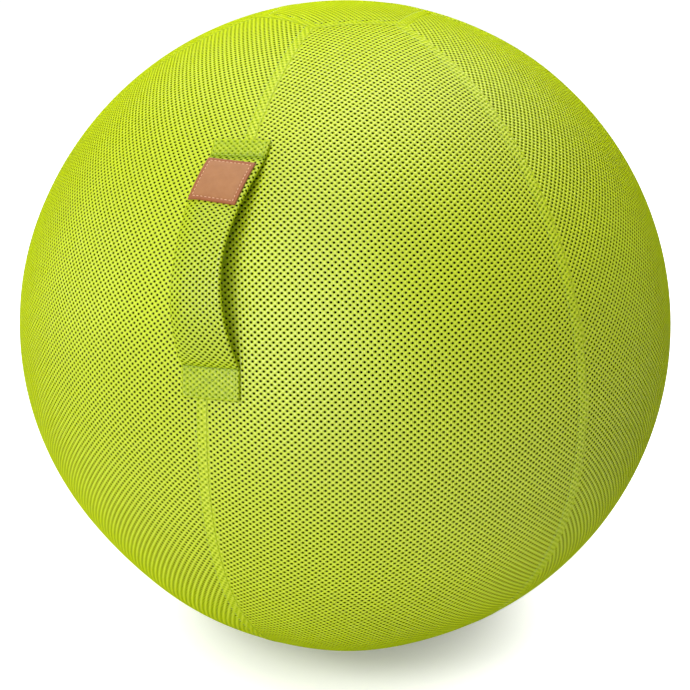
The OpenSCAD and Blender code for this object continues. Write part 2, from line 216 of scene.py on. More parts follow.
FOLD_WIDTH = 0.0012
FOLD_DROP = 0.0002
# Painted shade in the crease of a seam's fold.
FOLD_SHADE = 0.015
HEM_DEPTH = 0.0026
# Painted shade on the turned-in hem, where the cloth turns in at its edges.
HEM_SHADE = 0.5
BAND_WIDTH = 0.0095
BAND_RISE = 0.0003
BAND_EASE = 0.001
GROOVE_WIDTH = 0.0010
GROOVE_DROP = 0.0006
# Painted shade in the groove under the topstitching.
GROOVE_SHADE = 0.025

ROW_EASE = 0.55
EASE_FROM, EASE_TO = 0.7, 1.25
KNIT_STRETCH = 0.32
STRETCH_FROM, STRETCH_TO = 0.01, 0.21
GRAINS = np.radians([0, -4.5, 2, -2, 3, 5])
SWELLS = [(0.0028, -60, 11, -5, 42), (-0.0034, -33, 15, -32, 17), (0.0024, 22, 20, -54, 12)]
CUT_RIM = 0.0006
SLIVER_AREA, OUTSIDE_AREA = 2e-9, 1e-7
OUTLINE_STEPS = 400
RUN_STEPS = 2001

ZIP_SEAM = 3
ZIP_HIGH = np.radians(5)
ZIP_LOW = np.radians(50)
CHANNEL_HALF = 0.0072
CHANNEL_TAPER = 0.005 / BALL_RADIUS


def smooth_step(value, low, high):
    """0 below low, 1 above high, and an even S curve between."""
    share = np.clip((value - low) / (high - low), 0, 1)
    return share * share * (3 - 2 * share)


def bell(value, width):
    """1 at 0, falling off evenly on both sides."""
    return np.exp(-(value / width) ** 2)


def join_faces(corners):
    """One array of faces out of several sets, each given as one array of point numbers a corner."""
    return np.concatenate([np.stack(numbers, axis=-1).reshape(-1, len(numbers)) for numbers in corners])


def knit_lattice(reach_u, reach_v, draws):
    """Staggered holes over a rectangle, each with a ring of six points round a middle point.

    Hole (row, column) lies at pitch across * (column + half on odd rows), half the pitch along * row.
    Ring sides that face each other are joined by four-sided bridges, and the gap between three rings by
    a triangle. Returns u and v with one row of seven points a hole, and the triangles.
    """
    columns = np.arange(-int(reach_u / PITCH_ACROSS) - 2, int(reach_u / PITCH_ACROSS) + 3)
    rows = np.arange(-2 * int(reach_v / PITCH_ALONG) - 4, 2 * int(reach_v / PITCH_ALONG) + 5)
    row, column = np.meshgrid(rows, columns, indexing="ij")
    play = draws.uniform(-HOLE_PLAY, HOLE_PLAY, (2, *row.shape))
    middle_u = PITCH_ACROSS * (column + 0.5 * (row % 2)) + play[0]
    middle_v = PITCH_ALONG / 2 * row + play[1]
    turn = np.radians(60) * np.arange(6)
    u = (middle_u[..., None] + HOLE_HALF_WIDTH * np.append(np.cos(turn), 0)).reshape(-1, 7)
    v = (middle_v[..., None] + HOLE_HALF_LENGTH * np.append(np.sin(turn), 0)).reshape(-1, 7)

    point = np.arange(u.size).reshape(*row.shape, 7)
    r, c = np.meshgrid(np.arange(len(rows) - 2), np.arange(1, len(columns) - 1), indexing="ij")
    odd = rows[r] % 2
    here, above = point[r, c], point[r + 2, c]
    right, left = point[r + 1, c + odd], point[r + 1, c - 1 + odd]
    corners = [
        (here[..., 0], right[..., 4], right[..., 3]), (here[..., 0], right[..., 3], here[..., 1]),
        (here[..., 1], above[..., 5], above[..., 4]), (here[..., 1], above[..., 4], here[..., 2]),
        (here[..., 2], left[..., 0], left[..., 5]), (here[..., 2], left[..., 5], here[..., 3]),
        (here[..., 1], right[..., 3], above[..., 5]), (here[..., 2], above[..., 4], left[..., 0]),
    ]
    corners += [(point[..., k], point[..., (k + 1) % 6], point[..., 6]) for k in range(6)]
    return u, v, join_faces(corners)


def turn_flat(u, v, angle):
    """Flat points turned anticlockwise about the origin."""
    return u * np.cos(angle) - v * np.sin(angle), u * np.sin(angle) + v * np.cos(angle)


def cut_panel(low, high, sides, draws, grain=0.0):
    """Cuts a panel out of the knit: v runs from low to high, and u between the two sides at each v.

    The grain is the angle by which the knit is turned in the panel. Points outside are moved onto the
    outline, and triangles that shrink to nothing there are dropped. A hole nearer to the outline than
    the rim is closed flat. Returns u, v, 1 for the middle of an open hole and else 0, and the
    triangles.
    """
    reach = np.abs(sides(np.linspace(low, high, OUTLINE_STEPS))).max()
    shift = PITCH_ALONG * round((low + high) / 2 / PITCH_ALONG)
    slack = (high - low) / 2 * abs(np.sin(grain))
    u, v, triangles = knit_lattice(reach + slack, (high - low) / 2 + slack, draws)
    u, v = turn_flat(u, v, grain)
    v = v + shift
    left, right = sides(np.clip(v, low, high))
    near, outside = ((v < low + rim) | (v > high - rim) | (u < left + rim) | (u > right - rim)
                     for rim in (CUT_RIM, 0))
    cut = near[:, :6].any(axis=1)
    v = np.clip(v, low, high)
    left, right = sides(v)
    u = np.clip(u, left, right)
    for values in (u, v):
        values[cut, 6] = values[cut, :6].mean(axis=1)
    pit = np.zeros_like(u)
    pit[~cut, 6] = 1
    u, v, pit = u.ravel(), v.ravel(), pit.ravel()
    a, b, c = triangles.T
    area = (u[b] - u[a]) * (v[c] - v[a]) - (u[c] - u[a]) * (v[b] - v[a])
    least = np.where(outside.ravel()[triangles].all(axis=1), OUTSIDE_AREA, SLIVER_AREA)
    return u, v, pit, triangles[area > least]


def open_edges(triangles, count):
    """The edges that only one triangle has, each in that triangle's own direction."""
    edges = np.concatenate([triangles[:, [0, 1]], triangles[:, [1, 2]], triangles[:, [2, 0]]])
    there, back = edges[:, 0] * count + edges[:, 1], edges[:, 1] * count + edges[:, 0]
    return edges[~np.isin(there, back)]


def unit(vectors):
    """Each vector over its own length."""
    return vectors / np.maximum(np.linalg.norm(vectors, axis=1, keepdims=True), 1e-12)


def turn_edges_in(u, v, drop, tone, triangles, hem_depth):
    """Adds a hem that goes straight in from every open edge.

    A hem point has its edge point's u and v, is deeper by the hem's depth and is painted dark with
    HEM_SHADE, for the shade where the cloth turns in. Returns the flat map, where the hem lies outside
    the outline, and the grown arrays.
    """
    count = len(u)
    edges = open_edges(triangles, count)
    start, end = edges.T
    outward = np.zeros((count, 2))
    for corner in (start, end):
        np.add.at(outward, corner, np.stack([v[end] - v[start], u[start] - u[end]], axis=1))
    edge_points = np.unique(edges)
    twin = np.zeros(count, int)
    twin[edge_points] = count + np.arange(len(edge_points))
    u, v, drop, tone = (np.append(values, values[edge_points]) for values in (u, v, drop, tone))
    drop[count:] += hem_depth
    # The hem gets painted shade.
    tone[count:] = HEM_SHADE
    flat = np.stack([u, v], axis=1)
    flat[count:] += hem_depth * unit(outward[edge_points])
    hem = join_faces([(end, start, twin[start]), (end, twin[start], twin[end])])
    return flat, u, v, drop, tone, np.concatenate([triangles, hem])


def build_mesh(name, points, faces, material, maps=(), shades=(), smooth=True):
    """A mesh object from points and faces of one size, with UV maps and point attributes by name."""
    used, flat = np.unique(faces, return_inverse=True)
    faces = flat.reshape(faces.shape)
    mesh = bpy.data.meshes.new(name)
    mesh.vertices.add(len(used))
    mesh.vertices.foreach_set("co", points[used].astype(np.float32).ravel())
    mesh.loops.add(faces.size)
    mesh.loops.foreach_set("vertex_index", faces.astype(np.int32).ravel())
    mesh.polygons.add(len(faces))
    mesh.polygons.foreach_set("loop_start", np.arange(0, faces.size, faces.shape[1], dtype=np.int32))
    mesh.polygons.foreach_set("use_smooth", np.full(len(faces), smooth))
    mesh.update(calc_edges=True)
    for label, spots in dict(maps).items():
        layer = mesh.uv_layers.new(name=label)
        layer.data.foreach_set("uv", spots[used][faces.ravel()].astype(np.float32).ravel())
    for label, values in dict(shades).items():
        layer = mesh.attributes.new(label, "FLOAT", "POINT")
        layer.data.foreach_set("value", values[used].astype(np.float32))
    mesh.validate()
    mesh.materials.append(material)
    piece = bpy.data.objects.new(name, mesh)
    bpy.context.scene.collection.objects.link(piece)
    return piece


def fit_to_unit(flat):
    """A flat map stretched to fill the unit square."""
    return (flat - flat.min(axis=0)) / (flat.max(axis=0) - flat.min(axis=0))


def knit_piece(name, panel, place, relief, material, hem=HEM_DEPTH, grain=0.0):
    """Builds a piece of mesh: relief(u, v) says how far each point lies below the surface, which holes
    lie over a second layer and how much shade is painted on the surface, and place(u, v, drop) bends it
    to its shape. The bottom of each open hole gets full painted shade, less over a second layer."""
    u, v, pit, triangles = panel
    drop, paired, tone = relief(u, v)
    drop = drop + pit * (PIT_DEPTH + (PAIRED_PIT_DEPTH - PIT_DEPTH) * paired)
    # Painted shade: 1 at the bottom of an open hole, PAIRED_HOLE_SHADE over a second layer.
    tone = np.maximum(tone, pit * (1 + (PAIRED_HOLE_SHADE - 1) * paired))
    flat, u, v, drop, tone, triangles = turn_edges_in(u, v, drop, tone, triangles, hem)
    maps = {"Knit": np.stack(turn_flat(*flat.T, -grain), axis=1), "OFBake": fit_to_unit(flat)}
    return build_mesh(name, place(u, v, drop), triangles, material, maps, {"hollow": tone})


def swell(way):
    """How far the cover stands off a true sphere in each direction.

    It is drawn proud along one front seam, lies slack on the panel to its right, and is proud again at
    the foot of the front panel. Each is a rise times a bell of azimuth and one of height, in degrees.
    """
    azimuth = np.degrees(np.arctan2(way[:, 0], -way[:, 1]))
    height = np.degrees(np.arcsin(np.clip(way[:, 2], -1, 1)))
    return sum(rise * bell(azimuth - aside, breadth) * bell(height - up, length)
               for rise, aside, breadth, up, length in SWELLS)


def on_ball(way, drop):
    """Points this far below the cover's surface in these directions, flat where the ball rests."""
    points = BALL_CENTRE + way * (BALL_RADIUS + swell(way) - drop)[:, None]
    points[:, 2] = np.maximum(points[:, 2], 0)
    return points


def turned(way, azimuth):
    """Directions turned about the ball's upright axis."""
    x, y = way[:, 0], way[:, 1]
    return np.stack([x * np.cos(azimuth) - y * np.sin(azimuth),
                     x * np.sin(azimuth) + y * np.cos(azimuth), way[:, 2]], axis=1)


def row_height(a, b):
    """Angle above the ball's middle: a little over half of the way from asin(cos a sin b) to b, and
    none of it at the panel's ends.

    A row of the knit would follow the first if it ran square to the panel's middle line, and the
    second if it ran level. Stretched over the ball it settles between the two.
    """
    square = np.arcsin(np.cos(a) * np.sin(b))
    return square + ROW_EASE * (1 - smooth_step(np.abs(b), EASE_FROM, EASE_TO)) * (b - square)


def gore_way(u, v):
    """Direction from the centre of the ball: u is measured across the middle line and v along it."""
    a, b = u / BALL_RADIUS, v / BALL_RADIUS
    height, azimuth = row_height(a, b), np.arctan2(np.sin(a), np.cos(a) * np.cos(b))
    level = np.cos(height)
    return np.stack([level * np.sin(azimuth), -level * np.cos(azimuth), np.sin(height)], axis=1)


def edge_offset(height, is_zip):
    """How far a panel's edge lies from the seam's plane: half the seam's gap or the zip's channel."""
    open_share = smooth_step(height, -ZIP_LOW - CHANNEL_TAPER, -ZIP_LOW) \
        * (1 - smooth_step(height, -ZIP_HIGH, -ZIP_HIGH + CHANNEL_TAPER))
    return SEAM_GAP / 2 + is_zip * open_share * (CHANNEL_HALF - SEAM_GAP / 2)


def gore_edge(v, is_zip):
    """u of a panel's edge: sin(a) cos(30) - cos(a) cos(b) sin(30) = -offset / radius, solved for a."""
    b = v / BALL_RADIUS
    across, along = np.cos(HALF_GORE), np.cos(b) * np.sin(HALF_GORE)
    seam_a = np.arctan2(along, across)
    offset = edge_offset(row_height(seam_a, b), is_zip)
    return BALL_RADIUS * (seam_a - np.arcsin(offset / BALL_RADIUS / np.hypot(across, along)))


# Ramp of the hollow attribute: from no painted shade to near black at a hole's bottom.
PAINTED_SHADE_TONES = [(0.0, (255, 255, 255)), (0.06, (196, 212, 92)), (0.13, (66, 80, 6)), (0.24, (9, 15, 0))]
DEEP_YARN = (184, 208, 0)
# Painted highlight: the crowns of yarn between the holes are drawn towards YARN_HIGHLIGHT.
YARN_HIGHLIGHT = (248, 255, 40)
ROW_HIGHLIGHT_SHARE = -0.7
ROW_GROOVE = -0.3
HIGHLIGHT_POWER, ROW_POWER = 2.4, 4.0
COAT_ON_SWELL, COAT_BETWEEN = 1.2, 0.5
COAT_EDGE_POWER = 1.8
COAT_LOSS = -8.0
LOOPS_PER_METRE = 190.0
LOOP_SQUASH = 0.35
FUZZ_PER_METRE = 1400.0
FINE_SHARE = 0.2
YARN_RELIEF = 0.001
CLOTH_CLOUDS = 9
CLOTH_TONES = (0.96, 1.03)


def make_knit_material():
    """The dyed polyester mesh: lime yarn with a painted highlight on its swollen crowns between the holes
    and painted shade inside them.

    With a as u over the pitch across and b as v over the pitch along, the holes lie where a + b and
    a - b are both whole numbers, so the swell is half of 1 less the mean of the cosines of 2 pi times
    each. The painted highlight is a power of the swell, weaker along the rows, which are the fourth
    power of the cosine of 2 pi b and where the yarn lies a little lower. The attribute hollow is
    0 on the yarn's surface and 1 at the bottom of a hole, and its ramp paints the shade.
    """
    material, tree, shader = new_material("spacer_mesh", Roughness=0.8, Specular_IOR_Level=0.0,
                                          Coat_Roughness=0.34, Coat_IOR=1.6)
    flat = add_node(tree, "ShaderNodeUVMap", uv_map="Knit").outputs["UV"]
    split = add_node(tree, "ShaderNodeSeparateXYZ", {"Vector": flat})
    across = reckon(tree, "MULTIPLY", split.outputs["X"], 2 * np.pi / PITCH_ACROSS)
    along = reckon(tree, "MULTIPLY", split.outputs["Y"], 2 * np.pi / PITCH_ALONG)
    ribs = [reckon(tree, "COSINE", reckon(tree, way, across, along)) for way in ("ADD", "SUBTRACT")]
    swell_up = reckon(tree, "MULTIPLY_ADD", reckon(tree, "ADD", *ribs), -0.25, 0.5)

    # Painted shade from the attribute, multiplied onto the yarn's colour.
    hollow = add_node(tree, "ShaderNodeAttribute", attribute_name="hollow").outputs["Fac"]
    ramp = add_node(tree, "ShaderNodeValToRGB", {"Fac": hollow})
    ramp.color_ramp.elements.remove(ramp.color_ramp.elements[1])
    for place, colour in PAINTED_SHADE_TONES:
        stop = ramp.color_ramp.elements[0] if place == 0.0 else ramp.color_ramp.elements.new(place)
        stop.color = linear(*colour)
    rows = reckon(tree, "POWER", reckon(tree, "COSINE", along), ROW_POWER)
    # Painted highlight on the crowns, weaker along the rows.
    crown = reckon(tree, "MULTIPLY", reckon(tree, "POWER", swell_up, HIGHLIGHT_POWER),
                   reckon(tree, "MULTIPLY_ADD", rows, ROW_HIGHLIGHT_SHARE, 1.0))
    yarn = blend_colours(tree, crown, linear(*DEEP_YARN), linear(*YARN_HIGHLIGHT))
    cloud = mottled(tree, object_place(tree), CLOTH_CLOUDS, *CLOTH_TONES)
    shade = yarn
    for layer in (ramp.outputs["Color"], cloud):
        shade = add_node(tree, "ShaderNodeMix", {"Factor": 1.0, 6: shade, 7: layer},
                         data_type="RGBA", blend_type="MULTIPLY").outputs[2]
    tree.links.new(shade, shader.inputs["Base Color"])

    facing = add_node(tree, "ShaderNodeLayerWeight", {"Blend": 0.5}).outputs["Facing"]
    gloss = reckon(tree, "MULTIPLY",
                   reckon(tree, "MULTIPLY_ADD", swell_up, COAT_ON_SWELL, COAT_BETWEEN),
                   reckon(tree, "POWER", reckon(tree, "SUBTRACT", 1.0, facing), COAT_EDGE_POWER))
    solid = reckon(tree, "MAXIMUM", reckon(tree, "MULTIPLY_ADD", hollow, COAT_LOSS, 1.0), 0.0)
    tree.links.new(reckon(tree, "MULTIPLY", gloss, solid), shader.inputs["Coat Weight"])

    strands = add_node(tree, "ShaderNodeMapping", {"Vector": flat, "Scale": (1.0, LOOP_SQUASH, 1.0)})
    loops = add_node(tree, "ShaderNodeTexWave",
                     {"Vector": strands.outputs["Vector"], "Scale": LOOPS_PER_METRE, "Distortion": 4.0,
                      "Detail": 1.0, "Detail Scale": 3.0}).outputs["Fac"]
    fuzz = add_node(tree, "ShaderNodeTexNoise",
                    {"Vector": flat, "Scale": FUZZ_PER_METRE, "Detail": 2.0}).outputs["Fac"]
    fine = reckon(tree, "MULTIPLY_ADD", fuzz, FINE_SHARE, reckon(tree, "MULTIPLY", loops, FINE_SHARE))
    crests = reckon(tree, "MULTIPLY_ADD", rows, ROW_GROOVE, swell_up)
    raise_bumps(tree, shader, reckon(tree, "ADD", crests, fine), YARN_RELIEF)
    return material


KNIT = make_knit_material()


def edge_relief(edge, band):
    """Relief of a sewn edge, from the distance to the nearest fold and to the nearest banded one.

    The fold drops with the square of its nearness, the double band rises a little behind it, and a
    bell-shaped groove holds the stitches. Shade is painted along the fold and in the groove. Returns
    how far the cloth drops, is double and is painted with shade.
    """
    fold = (1 - np.clip(edge / FOLD_WIDTH, 0, 1)) ** 2
    paired = 1 - smooth_step(band, BAND_WIDTH - BAND_EASE, BAND_WIDTH)
    groove = bell(band - BAND_WIDTH, GROOVE_WIDTH)
    drop = FOLD_DROP * fold - BAND_RISE * paired + GROOVE_DROP * groove
    return drop, paired, np.maximum(FOLD_SHADE * fold, GROOVE_SHADE * groove)


def gore_relief(high_zip, low_zip, end):
    """Relief of a side panel, banded along its seam at the higher azimuth and along the zip."""
    def relief(u, v):
        way = gore_way(u, v)
        across, along = way[:, 0] * np.cos(HALF_GORE), way[:, 1] * np.sin(HALF_GORE)
        height = np.arcsin(way[:, 2])
        high = -(across + along) * BALL_RADIUS - edge_offset(height, high_zip)
        low = (across - along) * BALL_RADIUS - edge_offset(height, low_zip)
        ends = end - np.abs(v)
        edge = np.minimum(np.minimum(high, low), ends)
        at_zip = (height < -ZIP_HIGH) & (height > -ZIP_LOW)
        band = np.where(low_zip * at_zip, np.minimum(high, low), high)
        return edge_relief(edge, band)
    return relief


def gore_place(azimuth):
    """Bends a flat side panel onto the ball about its middle line at this azimuth."""
    return lambda u, v, drop: on_ball(turned(gore_way(u, v), azimuth), drop)


def summed(steps):
    """The running sum of steps, from 0."""
    return np.concatenate([[0], np.cumsum(steps)])


def knit_runs(end):
    """A panel's length on the ball and in the knit it is cut from, stretched more below its middle.

    Each step along the ball is divided by 1 plus the stretch there, and the sum is centred on 0.
    """
    on_panel = np.linspace(-end, end, RUN_STEPS)
    stretch = 1 + KNIT_STRETCH * smooth_step(-on_panel, STRETCH_FROM, STRETCH_TO)
    in_knit = summed(np.diff(on_panel) * (1 / stretch[1:] + 1 / stretch[:-1]) / 2)
    return on_panel, in_knit - in_knit[-1] / 2


def make_gores():
    """The six panels. Each is cut in the knit's own measure and drawn to its length on the ball."""
    end = BALL_RADIUS * (np.pi / 2 - EDGE_ANGLE) - SEAM_GAP / 2
    on_panel, in_knit = knit_runs(end)

    def drawn(v):
        return np.interp(v, in_knit, on_panel)

    for number in range(1, SEAM_COUNT + 1):
        high_zip, low_zip = number == ZIP_SEAM, number == ZIP_SEAM + 1

        def sides(v):
            return -gore_edge(v, low_zip), gore_edge(v, high_zip)

        draws = np.random.default_rng(number)
        grain = GRAINS[number - 1]
        panel = cut_panel(in_knit[0], in_knit[-1], lambda v: sides(drawn(v)), draws, grain)
        place = gore_place((2 * number - 1) * HALF_GORE)
        relief = gore_relief(high_zip, low_zip, end)
        gore = knit_piece(f"cover_panel_{number}", panel, lambda u, v, drop: place(u, drawn(v), drop),
                          lambda u, v: relief(u, drawn(v)), KNIT, grain=grain)
        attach(gore, "ball")
        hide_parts(f"cover_gore_{number}")
        left, right = sides(on_panel)


make_gores()


# ---- Top and base hexagons of the cover ----
# One hexagon of the same mesh closes each end of the ball. Its edges are folded over the side panels
# and topstitched, so the double band runs right round it. The lower one flattens on the floor.

APOTHEM = BALL_RADIUS * np.tan(EDGE_ANGLE) - SEAM_GAP / 2
CORNER = APOTHEM / np.cos(HALF_GORE)


def hexagon_sides(v):
    """A hexagon with a corner at each end of v: full width in its middle half, then down to nothing."""
    width = APOTHEM * np.clip(2 * (1 - np.abs(v) / CORNER), 0, 1)
    return -width, width


def hexagon_relief(u, v):
    """Relief of a hexagon, banded all round: the distance from the nearest of its six edges sets it."""
    turn = np.radians([0, 60, 120, 180, 240, 300])
    edge = (APOTHEM - (u[:, None] * np.cos(turn) + v[:, None] * np.sin(turn))).min(axis=1)
    return edge_relief(edge, edge)


def hexagon_way(x, y, up):
    """Directions of points in the plane that touches the ball's top (up 1) or its bottom (up -1)."""
    return unit(np.stack([x, y, np.full_like(x, up * BALL_RADIUS)], axis=1))


def make_hexagon(name, node_name, up):
    """A hexagon on the ball: each point of the flat piece is drawn in towards the centre."""
    def place(u, v, drop):
        return on_ball(hexagon_way(u * up, v, up), drop)

    panel = cut_panel(-CORNER, CORNER, hexagon_sides, np.random.default_rng(7 + up))
    piece = knit_piece(name, panel, place, hexagon_relief, KNIT)
    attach(piece, "ball")
    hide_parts(node_name)


make_hexagon("cover_top_panel", "cover_top", 1)
make_hexagon("cover_base_panel", "cover_base", -1)


# ---- Topstitching ----
# A row of lockstitch in lime polyester thread holds the seam allowances down, one row beside each side
# seam, one round each hexagon and one along each side of the zip. Each stitch is a short arched bead.

STITCH_PITCH = 0.0036
STITCH_LENGTH = 0.0029
THREAD_RADIUS = 0.00034
THREAD_SINK = 0.0004
SIDE_STEPS = 100
PLIES_PER_METRE = 900.0
PLY_RELIEF = 0.0001
ROW_TOP = np.pi / 2 - EDGE_ANGLE - 0.004


def make_thread_material(name, dark, light):
    """Twisted thread, whose plies show as a fine bump and a slight change of tone."""
    material, tree, shader = new_material(name, Roughness=0.55, Sheen_Weight=0.2)
    inputs = {"Vector": object_place(tree), "Scale": PLIES_PER_METRE, "Detail": 1.0}
    plies = add_node(tree, "ShaderNodeTexNoise", inputs).outputs["Fac"]
    colour = blend_colours(tree, plies, linear(*dark), linear(*light))
    tree.links.new(colour, shader.inputs["Base Color"])
    raise_bumps(tree, shader, plies, PLY_RELIEF)
    return material


LIME_THREAD = make_thread_material("lime_thread", (182, 206, 44), (214, 234, 92))


def along_path(points, outward, pitch):
    """Even steps along a path: their points, directions and outward normals, as whole arrays."""
    run = summed(np.linalg.norm(np.diff(points, axis=0), axis=1))
    marks = np.arange(pitch / 2, run[-1] - pitch / 4, pitch)

    def at(values, where):
        return np.stack([np.interp(where, run, values[:, k]) for k in range(3)], axis=1)

    direction = at(points, marks + pitch / 10) - at(points, marks - pitch / 10)
    return at(points, marks), unit(direction), unit(at(outward, marks))


def stitch_row(paths, pitch=STITCH_PITCH, length=STITCH_LENGTH, radius=THREAD_RADIUS):
    """Beads along one or more paths, given as (points, outward normals).

    Each bead is four rings of five points along its length, thin and sunk at its ends, with a point at
    each tip. Returns the points and the triangles.
    """
    steps = [along_path(points, outward, pitch) for points, outward in paths]
    middle, along, normal = (np.concatenate(parts) for parts in zip(*steps))
    across = np.cross(along, normal)
    station = np.array([-0.5, -0.42, -0.17, 0.17, 0.42, 0.5])
    thick = np.array([0.0, 0.62, 1.0, 1.0, 0.62, 0.0])
    sink = np.array([1.3, 0.7, 0.0, 0.0, 0.7, 1.3]) * radius
    turn = np.radians(72) * np.arange(5)
    wide = (thick[:, None] * np.cos(turn) * radius)[None, :, :, None]
    tall = (thick[:, None] * np.sin(turn) * radius - sink[:, None])[None, :, :, None]
    far = (station * length)[None, :, None, None]
    beads = middle[:, None, None] + far * along[:, None, None] + wide * across[:, None, None] \
        + tall * normal[:, None, None]
    count, rings, sides = beads.shape[:3]
    point = np.arange(count * rings * sides).reshape(count, rings, sides)
    point[:, 0], point[:, -1] = point[:, 0, :1], point[:, -1, :1]
    after = np.roll(point, -1, axis=2)
    a, b, c, d = point[:, :-1], after[:, :-1], after[:, 1:], point[:, 1:]
    corners = [(a[:, 1:], c[:, 1:], b[:, 1:]), (a[:, :-1], d[:, :-1], c[:, :-1])]
    return beads.reshape(-1, 3), join_faces(corners)


def seam_line(azimuth, side, heights, is_zip):
    """A line on the cover beside the seam at this azimuth: (points, outward normals).

    side is -1 for the panel short of the seam and 1 for the one past it. The direction from the centre
    is turned out of the seam's plane by the angle whose sine is the line's distance over the radius.
    """
    forward = np.array([np.sin(azimuth), -np.cos(azimuth), 0])
    aside = np.array([np.cos(azimuth), np.sin(azimuth), 0])
    up = np.array([0, 0, 1])
    sine = (edge_offset(heights, is_zip) + BAND_WIDTH) / BALL_RADIUS
    in_plane = np.cos(heights)[:, None] * forward + np.sin(heights)[:, None] * up
    way = np.sqrt(1 - sine ** 2)[:, None] * in_plane + side * sine[:, None] * aside
    return on_ball(way, np.full(len(heights), THREAD_SINK)), way


def traced(x, y):
    """Even steps along the straight lines from corner to corner."""
    marks = np.linspace(0, len(x) - 1, SIDE_STEPS * (len(x) - 1) + 1)
    return [np.interp(marks, np.arange(len(x)), values) for values in (x, y)]


def hexagon_line(up):
    """The stitched line of a hexagon, a band's width inside its edge: (points, outward normals)."""
    turn = np.radians(np.arange(0, 361, 60) + 30)
    reach = (APOTHEM - BAND_WIDTH) / np.cos(HALF_GORE)
    way = hexagon_way(*traced(reach * np.cos(turn), reach * np.sin(turn)), up)
    return on_ball(way, np.full(len(way), THREAD_SINK)), way


def sew(name, paths, material, rides_on, slot, **sizes):
    """A piece made of one or more rows of stitches."""
    thread = build_mesh(name, *stitch_row(paths, **sizes), material)
    if rides_on:
        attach(thread, rides_on)
    return thread


for number in range(1, SEAM_COUNT + 1):
    heights = np.linspace(-ROW_TOP, ROW_TOP, 800)
    row = seam_line(2 * number * HALF_GORE, -1, heights, number == ZIP_SEAM)
    sew(f"topstitch_seam_{number}", [row], LIME_THREAD, "ball", "mesh_fabric")
sew("topstitch_hexagons", [hexagon_line(1), hexagon_line(-1)], LIME_THREAD, "ball", "mesh_fabric")
zip_side = seam_line(np.pi, 1, np.linspace(-ZIP_LOW, -ZIP_HIGH, 300), True)
sew("topstitch_zip", [zip_side], LIME_THREAD, "ball", "mesh_fabric")


# ---- Zip tapes ----
# Two woven polyester tapes, 15 mm wide each, sewn under the folded edges of the mesh. Only the strip
# between the fold and the teeth shows, with the ribs of its weave.

TAPE_OUTSIDE = 0.3217
TAPE_THICK = 0.001
TAPE_INNER = 0.0004
TAPE_OUTER = 0.015
TAPE_END = 0.008 / BALL_RADIUS
TAPE_SIDES = 16
TAPE_STEPS = 90
TAPE_SQUARENESS = 0.25
RIB_PITCH = 0.0009
YARN_PITCH = 0.0008
WEAVE_RELIEF = 0.00018


def closed_tube(rings):
    """Joins rings of points into a tube with both ends closed by a fan: (points, triangles).

    The rings are one array (ring, point, xyz). If the signed volume comes out negative, the triangles
    are turned over, so that they face outwards.
    """
    count, sides = rings.shape[:2]
    middles = rings[[0, -1]].mean(axis=1)
    points = np.concatenate([rings.reshape(-1, 3), middles])
    point = np.arange(count * sides).reshape(count, sides)
    after = np.roll(point, -1, axis=1)
    a, b, c, d = point[:-1], after[:-1], after[1:], point[1:]
    first, last = np.full(sides, count * sides), np.full(sides, count * sides + 1)
    ends = [(after[0], point[0], first), (point[-1], after[-1], last)]
    triangles = join_faces([(a, b, c), (a, c, d), *ends])
    corner = points[triangles] - points.mean(axis=0)
    volume = np.einsum("ij,ij->i", corner[:, 0], np.cross(corner[:, 1], corner[:, 2])).sum()
    return points, triangles if volume > 0 else triangles[:, ::-1]


def make_tape_material():
    """Ribbed polyester weave: fine cross ribs and lengthwise yarns, a shade deeper than the mesh."""
    material, tree, shader = new_material("zip_tape_weave", Roughness=0.7, Sheen_Weight=0.15)
    place = object_place(tree)
    split = add_node(tree, "ShaderNodeSeparateXYZ", {"Vector": place})
    ribs = reckon(tree, "SINE", reckon(tree, "MULTIPLY", split.outputs["Z"], 2 * np.pi / RIB_PITCH))
    yarns = reckon(tree, "SINE", reckon(tree, "MULTIPLY", split.outputs["X"], 2 * np.pi / YARN_PITCH))
    weave = reckon(tree, "MULTIPLY_ADD", reckon(tree, "MULTIPLY", ribs, yarns), 0.5, 0.5)
    colour = blend_colours(tree, weave, linear(138, 166, 18), linear(176, 202, 40))
    tree.links.new(colour, shader.inputs["Base Color"])
    raise_bumps(tree, shader, weave, WEAVE_RELIEF)
    return material


def squared(wave):
    """A sine or cosine made squarer: its sign times a low power of its size."""
    return np.sign(wave) * np.abs(wave) ** TAPE_SQUARENESS


def make_tape(name, node_name, side, material):
    """One tape: a flat loop, squared off at its edges, carried along the seam's arc round the ball."""
    turn = np.linspace(0, 2 * np.pi, TAPE_SIDES + 1)[:-1]
    width, middle = (TAPE_OUTER - TAPE_INNER) / 2, (TAPE_OUTER + TAPE_INNER) / 2
    across = middle + width * squared(np.cos(turn))
    depth = TAPE_OUTSIDE - TAPE_THICK / 2 + TAPE_THICK / 2 * squared(np.sin(turn))
    height = np.linspace(-ZIP_LOW - TAPE_END, -ZIP_HIGH + TAPE_END, TAPE_STEPS)[:, None]
    rings = np.stack([np.broadcast_to(side * across, (TAPE_STEPS, TAPE_SIDES)), depth * np.cos(height),
                      depth * np.sin(height)], axis=2) + BALL_CENTRE
    tape = build_mesh(name, *closed_tube(rings), material)
    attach(tape, "ball")
    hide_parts(node_name)


TAPE_WEAVE = make_tape_material()
make_tape("zip_tape_left_woven", "zip_tape_left", -1, TAPE_WEAVE)
make_tape("zip_tape_right_woven", "zip_tape_right", 1, TAPE_WEAVE)


# ---- Zip chain, slider and pull ----
# Moulded acetal teeth and stops dyed to match the tapes, and a die-cast zinc slider whose pull hangs
# from its bridge. All keep their built shapes.

